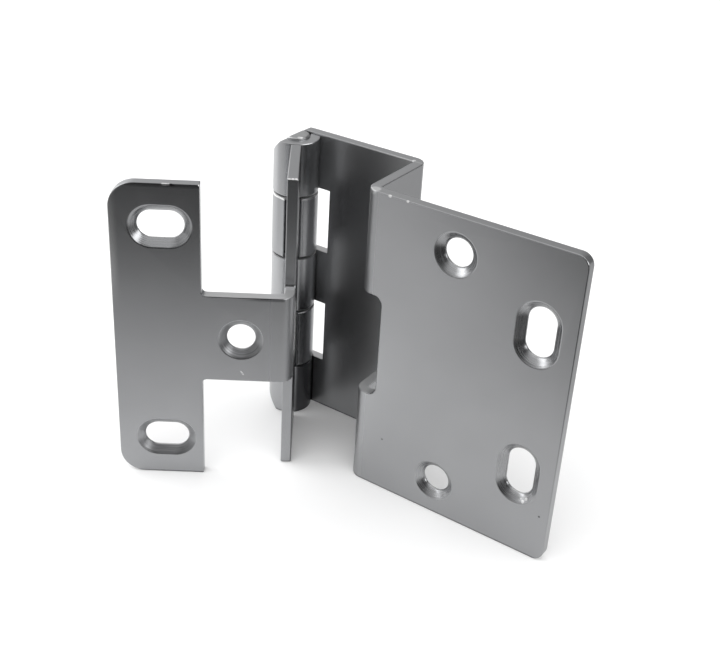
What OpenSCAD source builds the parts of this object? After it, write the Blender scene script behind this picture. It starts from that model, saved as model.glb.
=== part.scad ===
// Wrap-around cabinet hinge: two folded sheet-steel wings on one fixed pin, five knuckles.
// Millimetres. Z is the pin axis, Z = 0 is the plane of the lower edges.
// X runs along the door plate and the front plate of the door wing, away from the pin.
// Y points from the inside of the cabinet to the room.
// The door wing stands still in this file and the cabinet wing is drawn opened from it.

/* [Overall] */
// height of both wings and of the barrel
plate_h = 70; // [50:0.5:100]
// thickness of the sheet that both wings are folded from
sheet_t = 2.3; // [1.8:0.1:2.6]
// inside radius of the square bends
bend_r = 0.6; // [0.3:0.1:1.2]
// angle the hinge is drawn open, 0 is the closed door
open_angle = 55; // [0:1:180]

/* [Pin and knuckles] */
// diameter of the hinge pin
pin_d = 5.6; // [4.5:0.1:6.5]
// radial play between the pin and the knuckles of the cabinet wing
pin_play = 0.05; // [0.02:0.01:0.1]
// end gap between neighbouring knuckles
knuckle_gap = 0.5; // [0.3:0.05:1]
// how much taller than a fifth of the height the knuckles of the cabinet wing are
knuckle_extra = 0.4; // [0:0.1:0.8]
// step from the upper edge of the front plate down to the barrel
knuckle_drop = 0.4; // [0.1:0.05:0.8]
// gap between the pin and the inner face of the front plate
front_gap = 0.75; // [0.5:0.05:0.9]
// lean of the free end of a door knuckle, where it closes on the front plate
roll_lean = 30; // [20:1:32]
// seam between the rolled end of a door knuckle and the front plate
roll_seam = 0.1; // [0.05:0.05:0.3]
// length of the straight end of a rolled cabinet knuckle
roll_tail = 1.9; // [1:0.1:2.2]
// inside radius of the joggle from the side plate into its knuckles
joggle_r = 1; // [0.6:0.1:2]
// slope of the bevelled barrel ends
tip_angle = 45; // [30:1:55]
// pin axis to the line where the bevels start
tip_start = 0.5; // [0.1:0.05:1]
// height the upper pin end stands above the barrel
pin_proud = 0.6; // [0.4:0.05:0.8]
// chamfer of the upper pin end
pin_chamfer = 0.3; // [0.1:0.05:0.35]

/* [Door wing] */
// pin axis to the outer face of the web
web_reach = 30.3; // [28:0.1:45]
// outer face of the front plate to the countersunk face of the door plate
step_depth = 20.7; // [18:0.1:30]
// length of the door plate past the web
door_plate_w = 46; // [42:0.5:70]
// corner radius of the door plate
door_corner_r = 2.5; // [1:0.5:5]
// pin axis to the far edge of the two knuckle windows
window_reach = 6.8; // [6.4:0.1:9]
// height of the notch that lets the neck through
notch_h = 24; // [22.5:0.5:28]
// depth of the notch into the door plate
notch_depth = 3.3; // [2.5:0.1:6]
// corner radius of the notch
notch_r = 2; // [1:0.25:3]

/* [Cabinet wing] */
// pin plane to the outer face of the side plate
side_offset = 1.2; // [0.8:0.1:1.6]
// pin axis to the free edge of the side plate
side_plate_w = 25.3; // [20:0.1:26]
// overall width of the panel plate
panel_plate_w = 37.7; // [36:0.1:60]
// width of the full-height end of the panel plate
panel_end_w = 18.4; // [17:0.1:18.8]
// height of the neck
neck_h = 20.4; // [18:0.2:21]
// outer corner radius of the panel plate
panel_corner_r = 5.5; // [3:0.5:7]
// inside corner radius at the neck
neck_fillet_r = 1; // [0.5:0.25:2]
// free corner radius of the side plate
side_corner_r = 0.5; // [0.3:0.1:3]
// gap that the side plate keeps from the front plate at full swing
swing_gap = 0.45; // [0.3:0.05:1]

/* [Screw holes] */
// diameter of the screw holes and width of the slots
hole_d = 6; // [4.5:0.1:6.2]
// outer diameter of the countersinks
sink_d = 9.4; // [8:0.1:9.6]
// full angle of the countersinks
sink_angle = 100; // [82:1:110]
// depth over which a punched hole widens towards the back
break_depth = 0.55; // [0.3:0.05:0.7]
// how far a punched hole widens at the back on each side
break_w = 0.3; // [0.1:0.05:0.4]
// web to the round holes of the door plate
door_hole_x = 19.2; // [15:0.1:24]
// height between the round holes of the door plate
door_hole_pitch = 54; // [50:0.5:56]
// web to the slots of the door plate
door_slot_x = 38.1; // [36:0.1:39]
// height between the slots of the door plate
door_slot_pitch = 32.4; // [30:0.2:36]
// travel of the slots of the door plate
door_slot_travel = 4.8; // [3:0.1:6]
// outer face of the side plate to the slots of the panel plate
panel_slot_y = 27.4; // [27:0.1:28]
// height between the slots of the panel plate
panel_slot_pitch = 51.2; // [48:0.2:54]
// travel of the slots of the panel plate
panel_slot_travel = 3.6; // [2:0.1:4]
// outer face of the side plate to the hole in the neck
neck_hole_y = 11.1; // [10:0.1:12]

/* [Hidden] */
// roundness of the circles in the preview mesh
$fn = 72;
// small overlap that keeps cuts clean
lap = 1;
pin_r = pin_d / 2;
// the door wing is rolled tight on the pin, the cabinet wing runs on it
door_in_r = pin_r;
door_out_r = pin_r + sheet_t;
cab_in_r = pin_r + pin_play;
cab_out_r = cab_in_r + sheet_t;
bend_out_r = sheet_t + bend_r;
mid_z = plate_h / 2;
barrel_top = plate_h - knuckle_drop;
// the cabinet knuckles lie half their height above and below the middle
cab_knuckle_h = plate_h / 5 + knuckle_extra;
// rolls and arcs that run into each other do so over a hair of overlap
blend = 0.02;
// door wing
front_in_y = door_in_r + front_gap;
front_out_y = door_out_r + front_gap;
lead_x = front_gap + blend;
door_face_y = front_out_y - step_depth;
door_seat_y = door_face_y + sheet_t;
door_edge_x = web_reach + door_plate_w;
// cabinet wing, along its own side plate
side_in_y = side_offset - sheet_t;
joggle_y = side_offset + joggle_r;
joggle_x = sqrt(pow(cab_out_r + joggle_r - blend, 2) - pow(joggle_y, 2));
joggle_a = atan2(joggle_y, joggle_x);
side_start_x = max(front_out_y + swing_gap, joggle_x + blend);
panel_edge_y = side_offset - panel_plate_w;
panel_step_y = panel_edge_y + panel_end_w;
roll_end_a = -45;
// countersinks
sink_depth = (sink_d - hole_d) / 2 / tan(sink_angle / 2);
// holes at the back of the sheet
back_d = hole_d + 2 * break_w;

// Core of the sheet across a seam on the X axis, so that the strip is one piece.
// It reaches from the inner radius r outwards and lies inside the sheet on both sides.
module core_2d(r) {
    translate([r + sheet_t / 4, -sheet_t / 8])
        square([sheet_t / 2, sheet_t / 4]);
}

// A quarter of a bend in the first quadrant.
module bend_2d() {
    intersection() {
        difference() {
            circle(r = bend_out_r);
            circle(r = bend_r);
        }
        square([bend_out_r, bend_out_r]);
    }
    core_2d(bend_r);
    rotate(90)
        core_2d(bend_r);
}

// Countersunk round hole along +Y from a face at Y = 0. The punch leaves it wider at the back.
module sunk_hole() {
    rotate([-90, 0, 0]) {
        translate([0, 0, -lap])
            cylinder(d = hole_d, h = sheet_t + 2 * lap);
        translate([0, 0, -lap])
            cylinder(d = sink_d, h = lap);
        cylinder(d1 = sink_d, d2 = hole_d, h = sink_depth);
        translate([0, 0, sheet_t - break_depth])
            cylinder(d1 = hole_d, d2 = back_d, h = break_depth);
        translate([0, 0, sheet_t])
            cylinder(d = back_d, h = lap);
    }
}

// Countersunk slot from a face at Y = 0, its travel along X.
module sunk_slot(travel) {
    translate([-travel / 2, 0, 0])
        sunk_hole();
    translate([travel / 2, 0, 0])
        sunk_hole();
    translate([-travel / 2, -lap, -hole_d / 2])
        cube([travel, sheet_t + 2 * lap, hole_d]);
    translate([-travel / 2, 0, 0])
        rotate([90, 0, 90])
            linear_extrude(height = travel) {
                polygon([
                    [-lap, -sink_d / 2],
                    [0, -sink_d / 2],
                    [sink_depth, -hole_d / 2],
                    [sink_depth, hole_d / 2],
                    [0, sink_d / 2],
                    [-lap, sink_d / 2]
                ]);
                polygon([
                    [sheet_t - break_depth, -hole_d / 2],
                    [sheet_t, -back_d / 2],
                    [sheet_t + lap, -back_d / 2],
                    [sheet_t + lap, back_d / 2],
                    [sheet_t, back_d / 2],
                    [sheet_t - break_depth, hole_d / 2]
                ]);
            }
}

// Material removed outside a rounded corner at the origin, the plate on the side of -X and -Z.
module corner_cut(r) {
    translate([-r, 0, -r])
        difference() {
            translate([0, -2 * sheet_t, 0])
                cube([r + lap, 4 * sheet_t, r + lap]);
            rotate([90, 0, 0])
                cylinder(r = r, h = 6 * sheet_t, center = true);
        }
}

// The wedge that bevels the upper end of the barrel and pin on the side away from the plates.
module tip_cut() {
    reach = door_out_r + lap;
    drop = reach * tan(tip_angle);
    translate([-tip_start, 0, 0])
        rotate([90, 0, 0])
            linear_extrude(height = 4 * door_out_r, center = true)
                polygon([
                    [0, 0],
                    [lap / tan(tip_angle), lap],
                    [-reach, lap],
                    [-reach, -drop]
                ]);
}

module both_tips() {
    translate([0, 0, plate_h])
        tip_cut();
    mirror([0, 0, 1])
        tip_cut();
}

// Disc with a straight band of width r that leaves it on a tangent at the lean angle.
module rolled_2d(r, band) {
    rotate(roll_lean) {
        circle(r = r);
        square([r, band]);
    }
}

// Disc of the wider last quarter, in which the roll opens up to the front plate.
module lead_2d(r) {
    intersection() {
        translate([lead_x, 0])
            circle(r = r + front_gap);
        translate([lead_x - 2 * door_out_r, 0])
            square([2 * door_out_r, 2 * door_out_r]);
    }
}

// Plan of one door knuckle: tight roll, free end closing on the front plate, wider last quarter.
module door_knuckle_2d() {
    far = 3 * door_out_r;
    difference() {
        union() {
            intersection() {
                rolled_2d(door_out_r, far);
                translate([-far, -far])
                    square([2 * far, far + front_in_y - roll_seam]);
            }
            lead_2d(door_out_r);
        }
        circle(r = door_in_r);
        lead_2d(door_in_r);
        // space between the pin, the front plate and the free end
        intersection() {
            rolled_2d(door_in_r, far);
            translate([lead_x, 0])
                square([far, front_in_y]);
        }
    }
}

// What lies above the barrel: all of the roll but the part in line with the front plate.
module drop_cut() {
    far = 3 * door_out_r;
    cut_y = front_in_y - roll_seam / 2;
    translate([0, 0, barrel_top])
        linear_extrude(height = far)
            polygon([
                [-far, -far],
                [far, -far],
                [far, cut_y],
                [lead_x + blend, cut_y],
                [lead_x + blend, 0],
                [-far, 0]
            ]);
}

// Plan of the door wing: knuckle, front plate, web and door plate in one strip.
module door_strip_2d() {
    door_knuckle_2d();
    translate([lead_x, 0])
        rotate(90)
            core_2d(front_in_y);
    translate([lead_x, front_in_y])
        square([web_reach - bend_out_r - lead_x, sheet_t]);
    translate([web_reach - bend_out_r, front_out_y - bend_out_r])
        bend_2d();
    translate([web_reach - sheet_t, door_face_y + bend_out_r])
        square([sheet_t, step_depth - 2 * bend_out_r]);
    translate([web_reach - sheet_t + bend_out_r, door_face_y + bend_out_r])
        rotate(180)
            bend_2d();
    translate([web_reach + bend_r, door_face_y])
        square([door_plate_w - bend_r, sheet_t]);
}

// The notch through web and door plate, with rounded corners in the door plate.
module notch_cut() {
    notch_top = mid_z + notch_h / 2;
    notch_low = mid_z - notch_h / 2;
    notch_x = web_reach + notch_depth;
    notch_y = front_out_y - bend_out_r;
    translate([web_reach - sheet_t - lap, door_face_y - lap, notch_low])
        cube([notch_depth + sheet_t + lap - notch_r, sheet_t + bend_r + 2 * lap, notch_h]);
    translate([notch_x - notch_r - lap, door_face_y - lap, notch_low + notch_r])
        cube([notch_r + lap, sheet_t + bend_r + 2 * lap, notch_h - 2 * notch_r]);
    for (z = [notch_low + notch_r, notch_top - notch_r])
        translate([notch_x - notch_r, door_face_y - lap, z])
            rotate([-90, 0, 0])
                cylinder(r = notch_r, h = sheet_t + bend_r + 2 * lap);
    translate([web_reach - sheet_t - lap, door_face_y, notch_low])
        cube([sheet_t + lap + bend_r, notch_y - door_face_y, notch_h]);
}

module door_wing() {
    color([0.66, 0.67, 0.68])
    difference() {
        linear_extrude(height = plate_h)
            door_strip_2d();
        for (side = [-1, 1])
            translate([window_reach - 4 * door_out_r, -2 * door_out_r, mid_z + side * cab_knuckle_h])
                translate([0, 0, -cab_knuckle_h / 2 - knuckle_gap])
                    cube([4 * door_out_r, 4 * door_out_r, cab_knuckle_h + 2 * knuckle_gap]);
        both_tips();
        drop_cut();
        notch_cut();
        for (side = [-1, 1]) {
            translate([web_reach + door_hole_x, door_face_y, mid_z + side * door_hole_pitch / 2])
                sunk_hole();
            translate([web_reach + door_slot_x, door_face_y, mid_z + side * door_slot_pitch / 2])
                rotate([0, 90, 0])
                    sunk_slot(door_slot_travel);
        }
        translate([door_edge_x, door_face_y, plate_h])
            corner_cut(door_corner_r);
        translate([door_edge_x, door_face_y, 0])
            mirror([0, 0, 1])
                corner_cut(door_corner_r);
    }
}

// Plan of the side plate and panel plate of the cabinet wing, closed position.
module cabinet_strip_2d() {
    translate([side_start_x, side_in_y])
        square([web_reach - bend_out_r - side_start_x, sheet_t]);
    translate([web_reach - bend_out_r, side_offset - bend_out_r])
        bend_2d();
    translate([web_reach - sheet_t, panel_edge_y])
        square([sheet_t, panel_plate_w - bend_out_r]);
}

// Plan of one cabinet knuckle: joggle, roll and straight end, with the open seam between them.
module cabinet_knuckle_2d() {
    far = 3 * cab_out_r;
    difference() {
        union() {
            rotate(roll_end_a) {
                circle(r = cab_out_r);
                square([cab_out_r, roll_tail]);
            }
            polygon([
                [0, 0],
                [joggle_x, joggle_y],
                [joggle_x, side_offset],
                [side_start_x + lap, side_offset],
                [side_start_x + lap, side_in_y],
                [0, side_in_y]
            ]);
        }
        // bore and inner side of the straight end
        rotate(roll_end_a) {
            circle(r = cab_in_r);
            square([cab_in_r, roll_tail]);
        }
        // hollow side of the joggle
        translate([joggle_x, joggle_y])
            circle(r = joggle_r);
        // seam, up to the round side of the joggle
        difference() {
            intersection() {
                rotate(roll_end_a)
                    translate([0, roll_tail])
                        square([far, far]);
                rotate(joggle_a)
                    translate([0, -far])
                        square([far, far]);
            }
            translate([joggle_x, joggle_y])
                circle(r = joggle_r + sheet_t);
        }
    }
}

// One side of the blank outline above the neck, for the upper half.
module neck_cut() {
    neck_top = neck_h / 2;
    top = mid_z + lap;
    deep = sheet_t + 2 * lap;
    f = neck_fillet_r;
    // clear the side plate past its free edge and the panel plate before its step
    difference() {
        translate([side_plate_w, panel_step_y, neck_top])
            cube([web_reach - side_plate_w + lap, side_offset - panel_step_y + lap, top - neck_top]);
        // fillet on the side plate
        difference() {
            translate([side_plate_w - lap, side_in_y - lap, neck_top - lap])
                cube([f + lap, deep, f + lap]);
            translate([side_plate_w + f, side_in_y - 2 * lap, neck_top + f])
                rotate([-90, 0, 0])
                    cylinder(r = f, h = deep + 2 * lap);
        }
        // fillet on the panel plate
        difference() {
            translate([web_reach - sheet_t - lap, panel_step_y - lap, neck_top - lap])
                cube([deep, f + lap, f + lap]);
            translate([web_reach - sheet_t - 2 * lap, panel_step_y + f, neck_top + f])
                rotate([0, 90, 0])
                    cylinder(r = f, h = deep + 2 * lap);
        }
    }
    // rounded free corner of the side plate
    translate([side_plate_w, side_in_y, mid_z])
        corner_cut(side_corner_r);
    // rounded outer corner of the panel plate
    translate([web_reach, panel_edge_y, mid_z])
        rotate([0, 0, -90])
            corner_cut(panel_corner_r);
}

module cabinet_wing() {
    color([0.60, 0.61, 0.62])
    rotate([0, 0, -open_angle])
    difference() {
        union() {
            linear_extrude(height = plate_h)
                cabinet_strip_2d();
            for (side = [-1, 1])
                translate([0, 0, mid_z + side * cab_knuckle_h - cab_knuckle_h / 2])
                    linear_extrude(height = cab_knuckle_h)
                        cabinet_knuckle_2d();
        }
        translate([0, 0, mid_z])
            neck_cut();
        translate([0, 0, mid_z])
            mirror([0, 0, 1])
                neck_cut();
        translate([web_reach, side_offset - neck_hole_y, mid_z])
            rotate([0, 0, 90])
                sunk_hole();
        for (side = [-1, 1])
            translate([web_reach, side_offset - panel_slot_y, mid_z + side * panel_slot_pitch / 2])
                rotate([0, 0, 90])
                    sunk_slot(panel_slot_travel);
    }
}

module hinge_pin() {
    color([0.72, 0.72, 0.73])
    difference() {
        union() {
            cylinder(r = pin_r, h = barrel_top + pin_proud - pin_chamfer);
            translate([0, 0, barrel_top + pin_proud - pin_chamfer])
                cylinder(r1 = pin_r, r2 = pin_r - pin_chamfer, h = pin_chamfer);
        }
        both_tips();
    }
}

// which piece to draw

door_wing();
cabinet_wing();
hinge_pin();
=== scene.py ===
from math import cos, radians, sin

import bpy
from mathutils import Matrix, Vector

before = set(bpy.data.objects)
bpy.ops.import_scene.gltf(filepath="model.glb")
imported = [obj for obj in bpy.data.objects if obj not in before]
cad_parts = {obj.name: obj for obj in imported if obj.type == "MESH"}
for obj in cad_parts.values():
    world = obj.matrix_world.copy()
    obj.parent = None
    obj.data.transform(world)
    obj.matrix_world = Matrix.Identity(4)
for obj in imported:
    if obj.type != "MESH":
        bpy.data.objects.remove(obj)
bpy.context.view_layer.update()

# Places on the wings, in metres. The door wing's plates lie along X and Y. The cabinet wing is
# turned about the pin: deep runs from the pin along its side plate and through its panel plate,
# and along runs along its panel plate.
OPEN_ANGLE = radians(55)
MIDDLE_Z = 0.035
NECK_TOP_Z = 0.0452
KNUCKLE_TOP_Z = 0.0564
BARREL_R = 0.0054
SINK_R = 0.0047
SINK_DEPTH = 0.0015
DOOR_FACE_Y = -0.01485
FRONT_INNER_Y = 0.00355
PANEL_FACE_DEEP = 0.0303
SIDE_FACE_ALONG = 0.0012
# level direction from the pin to the barrel's side that is turned to the front plate
BARREL_SIDE = radians(35)

# Holes of each holed plate: middle along the plate, middle up, half the travel of a slot along
# the plate, half its travel up
DOOR_HOLES = [(0.0495, MIDDLE_Z + rise, 0.0, 0.0) for rise in (-0.027, 0.027)]
DOOR_HOLES += [(0.0684, MIDDLE_Z + rise, 0.0, 0.0024) for rise in (-0.0162, 0.0162)]
PANEL_HOLES = [(-0.0099, MIDDLE_Z, 0.0, 0.0)]
PANEL_HOLES += [(-0.0262, MIDDLE_Z + rise, 0.0018, 0.0) for rise in (-0.0256, 0.0256)]

# Small marks: place, radius and strength. The bright ones are laid in pure white and are mostly
# painted highlights on edges; the pits are dark.
DOOR_GLINTS_AND_SPOTS = [
    # painted highlights on the upper edges of the door plate and the web, and a weaker one on the
    # bend's top
    (0.0339, DOOR_FACE_Y, 0.0699, 0.0003, 1.0),
    (0.0380, DOOR_FACE_Y, 0.0699, 0.00025, 1.0),
    (0.0278, 0.0039, 0.0700, 0.0003, 1.0),
    (0.0299, -0.0140, 0.0700, 0.0009, 0.45),
    # bright spots, laid in white, in the lower slot's countersink
    (0.0695, -0.0144, 0.0130, 0.00032, 0.55),
    (0.0703, -0.0144, 0.0124, 0.00032, 0.55),
    (0.0707, -0.0144, 0.0134, 0.00032, 0.55),
    (0.0700, -0.0144, 0.0115, 0.00032, 0.55),
]
DOOR_PITS = [
    (0.0362, DOOR_FACE_Y, 0.0129, 0.00016, 0.8),
    (0.0743, DOOR_FACE_Y, 0.0109, 0.00018, 0.8),
]
PANEL_GLINTS_AND_SCRATCH = [
    # painted highlights on the upper edges of the panel plate and the side plate
    (-0.0033, -0.0393, 0.0699, 0.00028, 1.0),
    (-0.0029, -0.0390, 0.0699, 0.00028, 1.0),
    (-0.0025, -0.0387, 0.0699, 0.00022, 0.8),
    (0.0026, -0.0352, 0.0699, 0.00028, 1.0),
    (0.0140, -0.0211, 0.0700, 0.0003, 0.8),
    (0.01455, -0.0207, 0.0700, 0.0003, 1.0),
    (0.0151, -0.0203, 0.0700, 0.0003, 1.0),
    # a short scratch below the neck's hole
    (0.00933, -0.03046, 0.0272, 0.00012, 1.0),
    (0.00951, -0.03033, 0.0269, 0.00012, 1.0),
    (0.00970, -0.03020, 0.02655, 0.00012, 1.0),
]
PANEL_PITS = [
    (-0.0020, -0.0384, 0.0698, 0.00025, 0.9),
    (-0.0016, -0.0382, 0.0697, 0.0002, 0.6),
]
PIN_GLINTS = [
    # painted highlights on the rim of the pin's end
    (0.0023, -0.0014, 0.07045, 0.0004, 1.0),
    (0.0018, -0.0016, 0.07045, 0.0004, 0.7),
]

# Colours laid over the steel: painted highlights, a painted sheen, painted light on an edge, the
# grey of punched faces, painted shade, and the darkest painted shade, which also colours the pits.
HIGHLIGHT_WHITE = (1.0, 1.0, 1.0)
PAINTED_SHEEN = (0.8, 0.8, 0.8)
LIT_EDGE = (0.9, 0.9, 0.9)
PUNCHED = (0.62, 0.62, 0.62)
SHADE = (0.08, 0.08, 0.085)
PAINTED_SHADE_AND_PITS = (0.03, 0.03, 0.035)

ROOM_LIGHT = 1.31
FLOOR_IN_STEEL = 0.67


class Val:
    """An output socket, with the arithmetic that adds Math nodes."""

    def __init__(self, graph, src):
        self.graph, self.src = graph, src

    def _math(self, operation, *others):
        sockets = dict(enumerate((self, *others)))
        return self.graph.node("ShaderNodeMath", dict(operation=operation), sockets)

    def __add__(self, other):
        return self._math("ADD", other)

    def __radd__(self, other):
        return self._math("ADD", other)

    def __sub__(self, other):
        return self._math("SUBTRACT", other)

    def __rsub__(self, other):
        return self.graph.node("ShaderNodeMath", dict(operation="SUBTRACT"), {0: other, 1: self})

    def __mul__(self, other):
        return self._math("MULTIPLY", other)

    def __rmul__(self, other):
        return self._math("MULTIPLY", other)

    def low(self, other):
        return self._math("MINIMUM", other)

    def high(self, other):
        return self._math("MAXIMUM", other)

    def size(self):
        return self._math("ABSOLUTE")

    def root(self):
        return self._math("SQRT")

    def sine(self):
        return self._math("SINE")

    def ramp(self, start, end, low=0.0, high=1.0):
        """Eases from low to high while the value goes from start to end."""
        sockets = {"Value": self, "From Min": start, "From Max": end, "To Min": low, "To Max": high}
        settings = dict(interpolation_type="SMOOTHSTEP", clamp=True)
        return self.graph.node("ShaderNodeMapRange", settings, sockets)

    def near(self, level, full=0.0001, none=0.0002):
        """1 up to the distance full from the level, easing to 0 at the distance none."""
        return (self - level).size().ramp(none, full)


class Graph:
    """A node tree. node() adds a node, sets it up, feeds its sockets and gives one output."""

    def __init__(self, tree):
        self.tree = tree

    def node(self, kind, settings=None, sockets=None, out=0):
        made = self.tree.nodes.new(kind)
        for name, value in (settings or {}).items():
            setattr(made, name, value)
        for key, value in (sockets or {}).items():
            self.feed(made.inputs[key], value)
        return Val(self, made.outputs[out])

    def feed(self, socket, value):
        if isinstance(value, Val):
            self.tree.links.new(value.src, socket)
        else:
            socket.default_value = value

    def split(self, vector):
        made = self.node("ShaderNodeSeparateXYZ", None, {0: vector}).src.node
        return [Val(self, part) for part in made.outputs]

    def join(self, x, y, z):
        return self.node("ShaderNodeCombineXYZ", None, {0: x, 1: y, 2: z})

    def grain(self, vector, scale, detail=3.0, rough=0.55):
        sockets = {"Vector": vector, "Scale": scale, "Detail": detail, "Roughness": rough}
        return self.node("ShaderNodeTexNoise", dict(noise_dimensions="3D"), sockets)

    def blend(self, mask, under, over):
        """The colour under where the mask is 0, and the colour over where it is 1."""
        under, over = (c if isinstance(c, Val) else (*c, 1) for c in (under, over))
        sockets = {"Factor": mask, 6: under, 7: over}
        return self.node("ShaderNodeMix", dict(data_type="RGBA"), sockets, out=2)


class Finish(Graph):
    """A new material and its node tree."""

    def __init__(self, name):
        self.material = bpy.data.materials.new(name)
        self.material.use_nodes = True
        super().__init__(self.material.node_tree)

    def place(self):
        """Position on the piece at rest, in metres."""
        return self.node("ShaderNodeTexCoord", out="Object")

    def bump(self, height, strength, distance):
        sockets = {"Height": height, "Strength": strength, "Distance": distance}
        return self.node("ShaderNodeBump", None, sockets)

    def shade(self, sockets):
        """Feeds the shader's sockets and gives the finished material."""
        shader = self.tree.nodes["Principled BSDF"]
        for name, value in sockets.items():
            self.feed(shader.inputs[name], value)
        return self.material


def slot_distance(along, up, holes):
    """Distance in metres from the nearest hole's middle line, which is a point for a round hole
    and the line of its travel for a slot."""
    nearest = None
    for middle_along, middle_up, half_along, half_up in holes:
        da = ((along - middle_along).size() - half_along).high(0.0)
        du = ((up - middle_up).size() - half_up).high(0.0)
        distance = (da * da + du * du).root()
        nearest = distance if nearest is None else nearest.low(distance)
    return nearest


def spots(x, y, z, marks):
    """Mask of small round marks. Each fades out over half a radius more than its own."""
    mask = None
    for px, py, pz, radius, strength in marks:
        dx, dy, dz = x - px, y - py, z - pz
        mark = (dx * dx + dy * dy + dz * dz).root().ramp(radius * 1.5, radius, 0.0, strength)
        mask = mark if mask is None else mask.high(mark)
    return mask


class SheetSteel(Finish):
    """Dull chrome on a folded wing: a smooth satin skin, faintly cloudy and with faint upright
    lines, greyer punched faces, and turned rings inside the countersinks of its holed plate.
    along and deep are the level places along that plate and through it."""

    def __init__(self, name, base, holes, face, turn=0.0):
        super().__init__(name)
        place = self.place()
        x, y, z = self.split(place)
        self.x, self.y, self.z = x, y, z
        self.along, self.deep = x, y
        if turn:
            sockets = {"Vector": place, "Angle": turn}
            turned = self.node("ShaderNodeVectorRotate", dict(rotation_type="Z_AXIS"), sockets)
            self.deep, self.along, _ = self.split(turned)
        self.radius = (x * x + y * y).root()
        self.in_barrel = self.radius.ramp(BARREL_R + 0.0002, BARREL_R)
        self.sideways = x * cos(BARREL_SIDE) + y * sin(BARREL_SIDE)
        self.on_plate = self.deep.near(face)

        away = slot_distance(self.along, z, holes)
        in_plate = self.deep.near(face, SINK_DEPTH, SINK_DEPTH + 0.0001)
        self.on_cone = away.ramp(SINK_R + 0.00005, SINK_R - 0.00005) * in_plate
        rings = self.grain(self.join(away * 5200.0, x * 120.0, z * 120.0), 1.0, 2.0, 0.6)
        self.rings = rings.ramp(0.3, 0.7)

        # faces that look up or down are sheared, and those well between the wing's upper and
        # lower edge were cut by a punch
        normal_z = self.split(self.node("ShaderNodeNewGeometry", out="Normal"))[2]
        sheared = normal_z.size().ramp(0.85, 0.97)
        self.punched = sheared * z.near(MIDDLE_Z, MIDDLE_Z - 0.006, MIDDLE_Z - 0.003)

        cloud = self.grain(place, 60.0, 2.0)
        lines = self.grain(self.join(x * 1500.0, y * 1500.0, z * 60.0), 1.0, 1.0, 0.5)
        tone = (cloud * 0.94 + lines * 0.06).ramp(0.15, 0.85)
        tone = tone + self.on_cone * (self.rings - 0.5) * 1.2
        self.colour = self.blend(tone, [c * 0.96 for c in base], [c * 1.04 for c in base])
        self.rough = 0.27 + self.on_cone * (self.rings * 0.08 - 0.05) + sheared * 0.06
        self.lay_colour(self.punched * 0.5, PUNCHED)
        # painted shade: a dark line where it stands on the floor
        self.lay_colour(z.ramp(0.0005, 0.0002, 0.0, 0.75), SHADE)

    def lay_colour(self, mask, colour):
        """Lays a plain colour over the steel where the mask is 1."""
        self.colour = self.blend(mask, self.colour, colour)

    def shade_barrel_side(self, strength):
        """Paints shade on the barrel's side that is turned to the front plate, more so towards the
        foot.
        """
        side = self.in_barrel * self.sideways.ramp(0.0008, 0.002)
        self.lay_colour(side * self.z.ramp(0.052, 0.016, 0.0, strength), PAINTED_SHADE_AND_PITS)

    def finished(self, bright_marks, pits):
        """The material, with its bright marks, most of them painted highlights, and its pits."""
        # painted highlights and other bright marks in white, then the dark pits
        self.lay_colour(spots(self.x, self.y, self.z, bright_marks), HIGHLIGHT_WHITE)
        self.lay_colour(spots(self.x, self.y, self.z, pits), PAINTED_SHADE_AND_PITS)
        return self.shade({
            "Base Color": self.colour,
            "Metallic": 1.0 - self.punched * 0.3,
            "Roughness": self.rough,
            "Normal": self.bump(self.rings * self.on_cone, 0.2, 0.00003),
        })


def door_wing_steel():
    """The door wing. The inner face of its front plate has a painted sheen towards the web, the
    barrel has painted shade on one side, and the bend before the door plate is dull."""
    steel = SheetSteel("door_wing_satin", (0.46, 0.465, 0.475), DOOR_HOLES, DOOR_FACE_Y)
    # painted shade on the barrel's side that is turned to the front plate
    steel.shade_barrel_side(0.85)
    # painted sheen on the inner face of the front plate, growing towards the web
    inner = steel.y.near(FRONT_INNER_Y)
    steel.lay_colour(inner * steel.x.ramp(0.016, 0.025, 0.0, 0.5), PAINTED_SHEEN)
    bend = steel.x.ramp(0.0313, 0.0306) * steel.y.ramp(-0.0115, -0.013)
    steel.rough = steel.rough + bend * 0.15 + inner * 0.08
    return steel.finished(DOOR_GLINTS_AND_SPOTS, DOOR_PITS)


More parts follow.
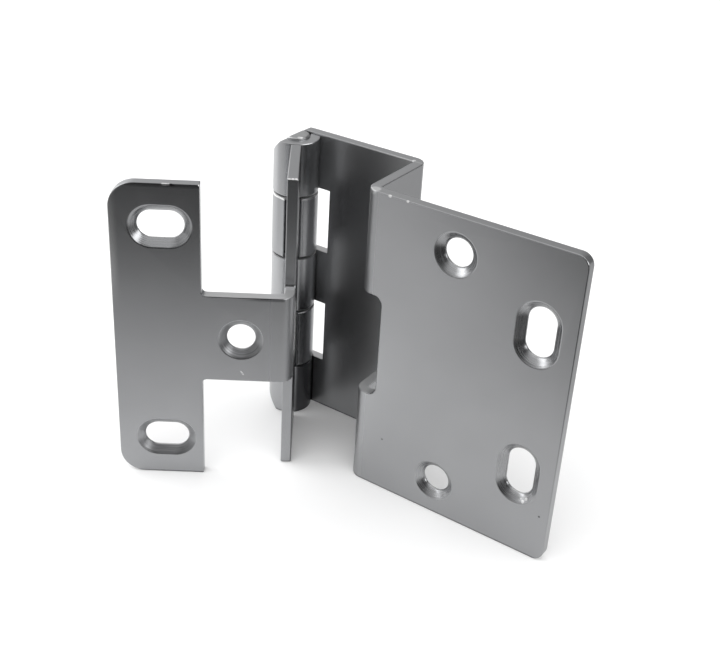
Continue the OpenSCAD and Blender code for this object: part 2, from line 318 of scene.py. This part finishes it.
def cabinet_wing_steel():
    """The cabinet wing, with its own painted light and shade, duller countersinks, pits and a
    scratch.
    """
    base = (0.40, 0.405, 0.415)
    steel = SheetSteel("cabinet_wing_satin", base, PANEL_HOLES, PANEL_FACE_DEEP, OPEN_ANGLE)
    along, deep, z = steel.along, steel.deep, steel.z
    # painted shade on the barrel's side that is turned to the front plate, weaker here
    steel.shade_barrel_side(0.4)

    # painted highlight on the upper rim of the upper knuckle
    rim = steel.radius.ramp(0.0046, 0.0048) * steel.in_barrel
    rim = rim * z.near(KNUCKLE_TOP_Z, 0.00012, 0.00028)
    steel.lay_colour(rim * steel.sideways.ramp(-0.0008, -0.002, 0.35, 1.0), HIGHLIGHT_WHITE)

    # painted light on the panel plate's free edge, in its upper half
    steel.lay_colour(along.ramp(-0.0345, -0.0364) * z.ramp(0.040, 0.055, 0.0, 0.6), LIT_EDGE)

    # painted shade: a dark line just below the sheared upper edges of plate and neck, where the
    # face rolls over
    plate_top = z.ramp(0.0690, 0.0695) * along.ramp(-0.0345, -0.031)
    neck_top = z.near(NECK_TOP_Z - 0.0003, 0.0002, 0.0006) * along.ramp(-0.011, -0.005)
    steel.lay_colour(steel.on_plate * plate_top.high(neck_top) * 0.6, SHADE)

    # painted shade, streaky, on the lower flanks of the neck's and the lower slot's countersinks
    neck_flank = z.ramp(0.0345, 0.033) * z.ramp(0.028, 0.029)
    flank = neck_flank.high(z.ramp(0.009, 0.0075)) * steel.on_cone
    steel.lay_colour(flank * (steel.rings * 0.5 + 0.2), SHADE)

    # painted shade on the side plate's face, beside the barrel and low down
    side_face = along.near(SIDE_FACE_ALONG) * deep.ramp(0.022, 0.017).high(z.ramp(0.026, 0.024))
    steel.lay_colour(side_face * 0.8, PAINTED_SHADE_AND_PITS)

    # the two lower countersinks are duller than the upper one, and so is the bend of the neck
    dull_sinks = steel.on_cone * z.ramp(0.048, 0.044)
    bend = along.ramp(-0.004, -0.001) * deep.ramp(0.026, 0.0275)
    steel.rough = steel.rough + dull_sinks * 0.12 + bend * 0.08
    return steel.finished(PANEL_GLINTS_AND_SCRATCH, PANEL_PITS)


def pin_steel():
    """Ground steel of the pin: rings of the turned end and a fine grain."""
    base = (0.50, 0.505, 0.51)
    mat = Finish("pin_ground")
    place = mat.place()
    x, y, z = mat.split(place)
    radius = (x * x + y * y).root()
    rings = (radius * 24000.0 + mat.grain(place, 900.0) * 3.0).sine() * 0.5 + 0.5
    fine = mat.grain(place, 2400.0, 2.0, 0.6)
    colour = mat.blend(fine.ramp(0.3, 0.7), [c * 0.94 for c in base], base)
    # painted highlights in white on the rim of the pin's end
    return mat.shade({
        "Base Color": mat.blend(spots(x, y, z, PIN_GLINTS), colour, HIGHLIGHT_WHITE),
        "Metallic": 1.0,
        "Roughness": 0.26 + rings * 0.05 + fine * 0.05,
        "Normal": mat.bump(rings * 0.4 + fine * 0.6, 0.12, 0.00003),
    })


def soften_edges(piece, width):
    """Joins the loose triangles of a CAD node and rounds its sharp edges. Flat faces stay flat,
    and the small steps where two roundings meet stay crisp."""
    weld = piece.modifiers.new("weld", "WELD")
    weld.merge_threshold = 0.000002
    bevel = piece.modifiers.new("edge_round", "BEVEL")
    bevel.width = width
    bevel.segments = 2
    bevel.limit_method = "ANGLE"
    bevel.angle_limit = 0.6
    bevel.use_clamp_overlap = False
    bevel.loop_slide = False
    split = piece.modifiers.new("crisp_steps", "EDGE_SPLIT")
    split.split_angle = 0.32
    shade = piece.modifiers.new("flat_faces_stay_flat", "WEIGHTED_NORMAL")
    shade.mode = "FACE_AREA"
    shade.weight = 100
    shade.thresh = 0.01
    shade.keep_sharp = False
    for face in piece.data.polygons:
        face.use_smooth = True


def dress(node_name, steel, rounding):
    """Gives a CAD node its steel and the rounding of its edges."""
    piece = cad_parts[node_name]
    piece.data.materials.clear()
    piece.data.materials.append(steel)
    soften_edges(piece, rounding)


def studio_floor():
    """A pale floor that the camera sees as white. In the steel it shows as a white sheet that
    fades out in front of the part and dims behind it. Its brightness there is a product of masks
    over X and Y, and no less than a last mask, for the far right."""
    bpy.ops.mesh.primitive_plane_add(size=6.0, location=(0, 0, 0))
    floor = bpy.context.object
    floor.name = "studio_floor"
    mat = Finish("pale_floor")
    x, y, _ = mat.split(mat.place())
    front_right = (x * 0.75 - y * 0.66).ramp(0.055, 0.155, 1.0, 0.06)
    front = y.ramp(-0.06, -0.25, 1.0, 0.45)
    close = y.ramp(-0.03, -0.08, 1.08, 1.0) + y.ramp(-0.09, -0.05) * x.ramp(0.03, 0.0, 0.0, 0.25)
    dip = 1.0 - y.near(-0.085, 0.015, 0.05) * x.ramp(0.06, 0.03, 0.0, 0.14)
    back = (x * 0.6 + y * 0.8).ramp(0.05, 0.12, 1.0, 0.58)
    far_right = y.ramp(-0.05, 0.0) * x.ramp(0.09, 0.14, 0.0, 0.4)
    mirrored = (front_right * front * close * dip * back).high(far_right)
    in_steel = mat.node("ShaderNodeLightPath", out="Is Glossy Ray")
    white = 1.0 - in_steel * (1.0 - mirrored * FLOOR_IN_STEEL)
    colour = mat.blend(white, (0, 0, 0), (0.93, 0.93, 0.93))
    pale = mat.shade({"Base Color": colour, "Roughness": 0.9, "Specular IOR Level": 0.0})
    floor.data.materials.append(pale)


def studio_room():
    """Soft light from all round, somewhat more of it from the front. The steel mirrors a dimmer
    room: light to the left, behind and above, a weak lamp at the left and a bright one at the
    right."""
    world = bpy.data.worlds.new("studio")
    bpy.context.scene.world = world
    world.use_nodes = True
    room = Graph(world.node_tree)
    dx, dy, dz = room.split(room.node("ShaderNodeTexCoord", out="Generated"))
    left = (dx * -0.83 + dy * -0.2).ramp(-0.2, 0.9, 0.02, 0.7)
    back = (dx * -0.5 + dy * 0.73).ramp(-0.3, 0.8, 0.0, 0.26)
    above = dz.ramp(0.45, 0.85, 0.0, 0.8)
    right_lamp = dx.ramp(0.75, 0.9, 0.0, 3.0) * dz.ramp(0.1, 0.3) * dz.ramp(0.7, 0.5)
    left_lamp = (dx * -1.0).ramp(0.6, 0.9, 0.0, 0.6) * dz.ramp(0.1, 0.35)
    mirrored = (left + back).high(above) + right_lamp + left_lamp
    in_steel = room.node("ShaderNodeLightPath", out="Is Glossy Ray")
    plain = ROOM_LIGHT - dy * 0.6
    background = world.node_tree.nodes["Background"]
    room.feed(background.inputs["Color"], (1, 1, 1, 1))
    room.feed(background.inputs["Strength"], in_steel * (mirrored - plain) + plain)


def soft_box(name, place, aim, side, power):
    """A square area light of one side's length, turned to the point aim."""
    lamp = bpy.data.lights.new(name, "AREA")
    lamp.shape = "SQUARE"
    lamp.size = side
    lamp.energy = power
    holder = bpy.data.objects.new(name, lamp)
    bpy.context.scene.collection.objects.link(holder)
    holder.location = place
    holder.rotation_euler = (Vector(aim) - Vector(place)).to_track_quat("-Z", "Y").to_euler()


def photo_camera():
    """The camera where the photograph was taken from. The rows of axes are X, Y and Z, and its
    columns are the camera's right, up and back."""
    lens = bpy.data.cameras.new("camera")
    lens.sensor_fit = "HORIZONTAL"
    lens.sensor_width = 36.0
    lens.lens = 57.012
    lens.shift_x = 0.04354
    lens.shift_y = -0.04637
    lens.clip_start = 0.01
    camera = bpy.data.objects.new("camera", lens)
    bpy.context.scene.collection.objects.link(camera)
    axes = Matrix((
        (0.81215, -0.30427, 0.49783),
        (0.58215, 0.36548, -0.72631),
        (0.03905, 0.87968, 0.47396),
    ))
    place = Matrix.Translation((0.14061046, -0.19023336, 0.15854384))
    camera.matrix_world = place @ axes.to_4x4()
    bpy.context.scene.camera = camera


dress("door_wing", door_wing_steel(), 0.0002)
dress("cabinet_wing", cabinet_wing_steel(), 0.0002)
dress("hinge_pin", pin_steel(), 0.00012)
studio_floor()
studio_room()
soft_box("left_soft_box", (-0.55, -0.25, 0.55), (0, 0, 0.03), 0.5, 1.2)
photo_camera()
bpy.context.scene.view_settings.view_transform = "Standard"
